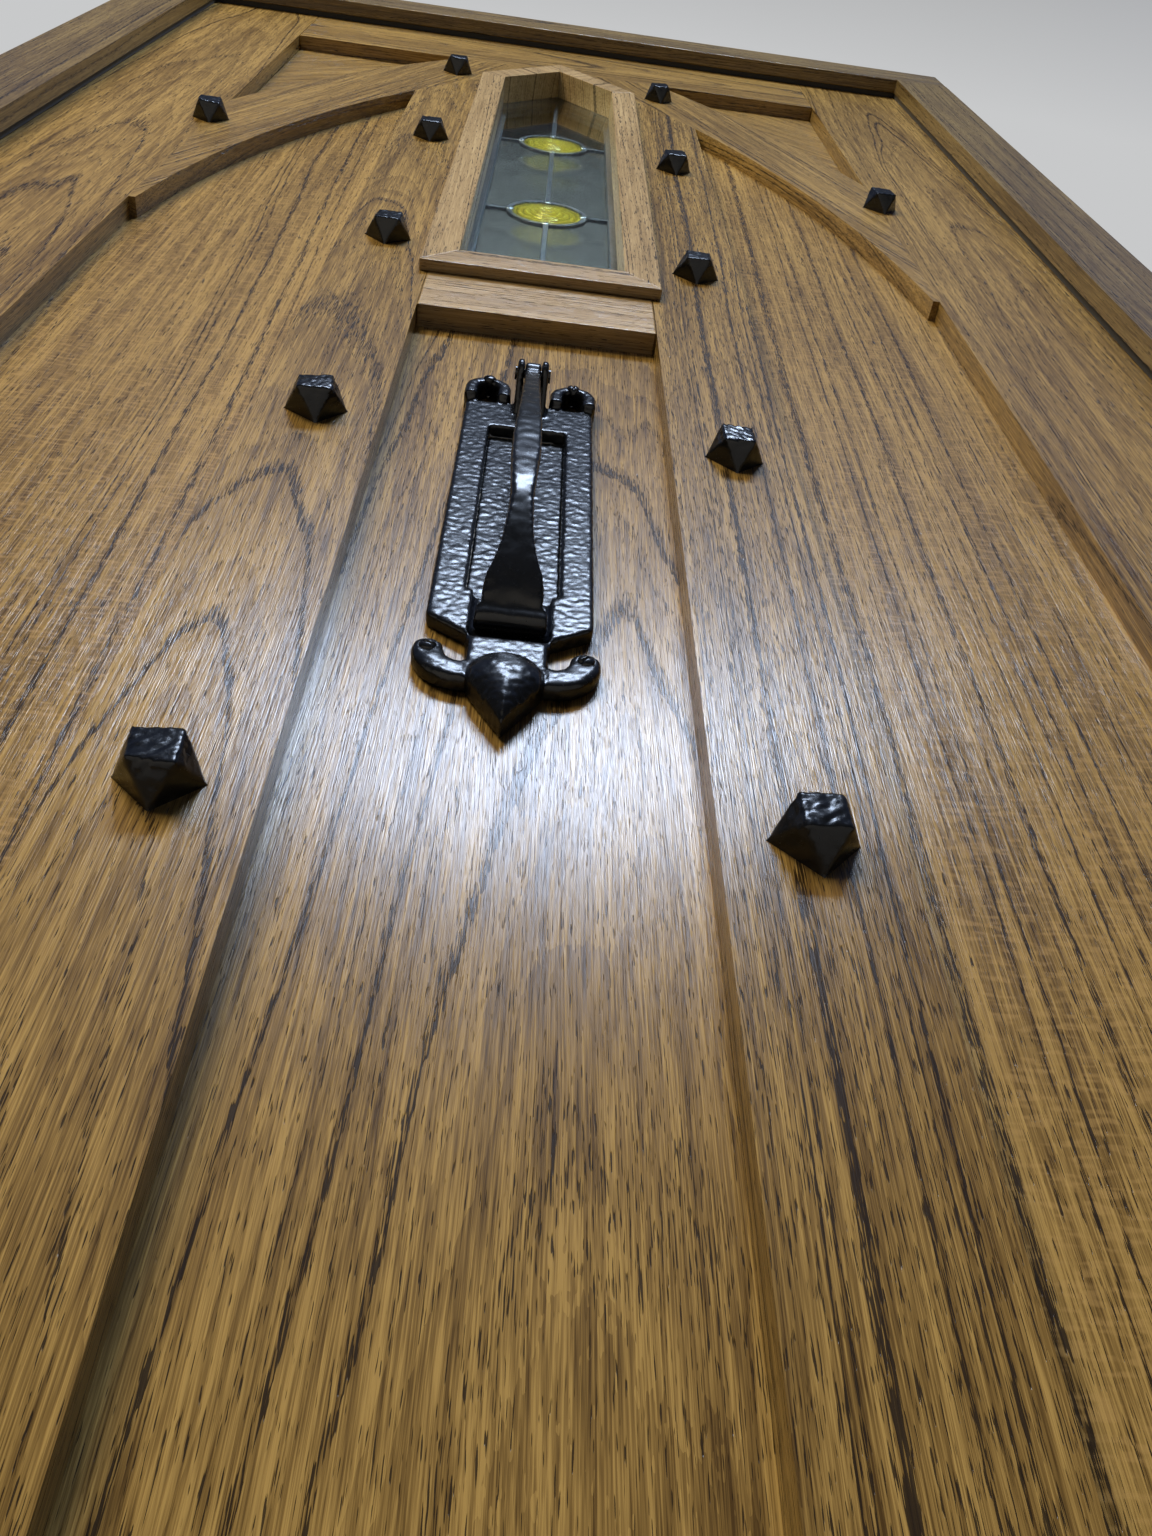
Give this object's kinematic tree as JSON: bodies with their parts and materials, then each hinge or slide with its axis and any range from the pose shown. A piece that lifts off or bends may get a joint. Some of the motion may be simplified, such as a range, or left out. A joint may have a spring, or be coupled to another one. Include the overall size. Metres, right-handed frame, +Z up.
{
  "type": "arched wooden entrance door with frame",
  "caption": "Stained oak front door in its frame: arched bracing, leaded window with yellow roundels, faceted iron studs, cast letter plate with a knocker.",
  "frame": {"origin": "middle of the sill's underside, in the plane of the leaf's outer face", "axes": "+X to the right as seen from the street, +Y into the house, +Z up"},
  "size_m": [0.964, 0.18, 2.125],
  "materials": {
    "frame_oak": "brown stain under satin lacquer",
    "stile_oak": "brown stain under satin lacquer",
    "rail_oak": "brown stain under satin lacquer",
    "panel_oak": "brown stain under satin lacquer",
    "brace_oak": "brown stain under satin lacquer",
    "bead_oak": "brown stain under satin lacquer",
    "black_iron": "hammered, glossy black",
    "bright_steel": "satin",
    "lead": "bright lead",
    "clear_glass": "clear",
    "yellow_glass": "yellow, rippled",
    "spacer_metal": "mill",
    "seal_rubber": "matt black"
  },
  "bodies": {
    "frame": {"frame_screws": "bright_steel", "head": "frame_oak", "hinge_frame_wing_1": "bright_steel", "hinge_frame_wing_2": "bright_steel", "hinge_frame_wing_3": "bright_steel", "hinge_pins": "bright_steel", "jamb_left": "frame_oak", "jamb_right": "frame_oak", "sill": "frame_oak", "strike_plate": "bright_steel", "weather_seals": "seal_rubber"},
    "leaf": {"bead_left": "bead_oak", "bead_right": "bead_oak", "bead_sill": "bead_oak", "bead_slope_left": "bead_oak", "bead_slope_right": "bead_oak", "bottom_rail": "rail_oak", "brace_left": "brace_oak", "brace_right": "brace_oak", "clear_quarries": "clear_glass", "door_studs": "black_iron", "flap_spring": "bright_steel", "front_spacer": "spacer_metal", "hinge_leaf_wing_1": "bright_steel", "hinge_leaf_wing_2": "bright_steel", "hinge_leaf_wing_3": "bright_steel", "inner_pane": "clear_glass", "knob_roses": "black_iron", "lead_cames": "lead", "leaf_screws": "bright_steel", "letter_plate": "black_iron", "lock_case": "bright_steel", "lock_cylinder": "bright_steel", "mid_rail": "rail_oak", "muntin_left": "stile_oak", "muntin_right": "stile_oak", "outer_pane": "clear_glass", "panel_centre": "panel_oak", "panel_left": "panel_oak", "panel_right": "panel_oak", "plate_pins": "black_iron", "plate_screws": "black_iron", "rear_beads": "bead_oak", "rear_spacer": "spacer_metal", "roundel_lower": "yellow_glass", "roundel_upper": "yellow_glass", "spandrel_left": "panel_oak", "spandrel_right": "panel_oak", "stile_left": "stile_oak", "stile_right": "stile_oak", "top_rail": "rail_oak"},
    "knocker": {"knocker": "black_iron"},
    "flap": {"letter_flap": "black_iron"},
    "knobs": {"knob_outside": "black_iron", "knob_inside": "black_iron", "spindle": "bright_steel"},
    "latch": {"latch_bolt": "bright_steel"},
    "bolt": {"dead_bolt": "bright_steel"},
    "turn": {"thumb_turn": "bright_steel"}
  },
  "joints": [
    {"name": "door_swing", "type": "hinge", "parent": "frame", "child": "leaf", "pos_m": [0.4335, 0.0623, 1.06], "axis": [0, 0, -1], "range_deg": [0, 100]},
    {"name": "knocker_swing", "type": "hinge", "parent": "leaf", "child": "knocker", "pos_m": [0, -0.01, 1.006], "axis": [-1, 0, 0], "range_deg": [0, 80]},
    {"name": "flap_swing", "type": "hinge", "parent": "leaf", "child": "flap", "pos_m": [0.0185, 0.021, 0.887], "axis": [0, 0, -1], "range_deg": [0, 85], "stiffness_Nm_per_rad": 0.06, "springref_deg": -17.19},
    {"name": "knob_turn", "type": "hinge", "parent": "leaf", "child": "knobs", "pos_m": [-0.375, 0.028, 1.05], "axis": [0, 1, 0], "range_deg": [0, 60], "stiffness_Nm_per_rad": 1, "springref_deg": -17.19},
    {"name": "latch_slide", "type": "slide", "parent": "leaf", "child": "latch", "axis": [1, 0, 0], "range_m": [0, 0.012]},
    {"name": "turn_turn", "type": "hinge", "parent": "leaf", "child": "turn", "pos_m": [-0.375, 0.06, 0.978], "axis": [0, 1, 0], "range_deg": [0, 360]},
    {"name": "bolt_slide", "type": "slide", "parent": "leaf", "child": "bolt", "axis": [-1, 0, 0], "range_m": [0, 0.02]}
  ],
  "couplings": [
    {"joint": "latch_slide", "follows": "knob_turn", "m_per_rad": 0.01145},
    {"joint": "turn_turn", "follows": "bolt_slide", "rad_per_m": 314}
  ]
}
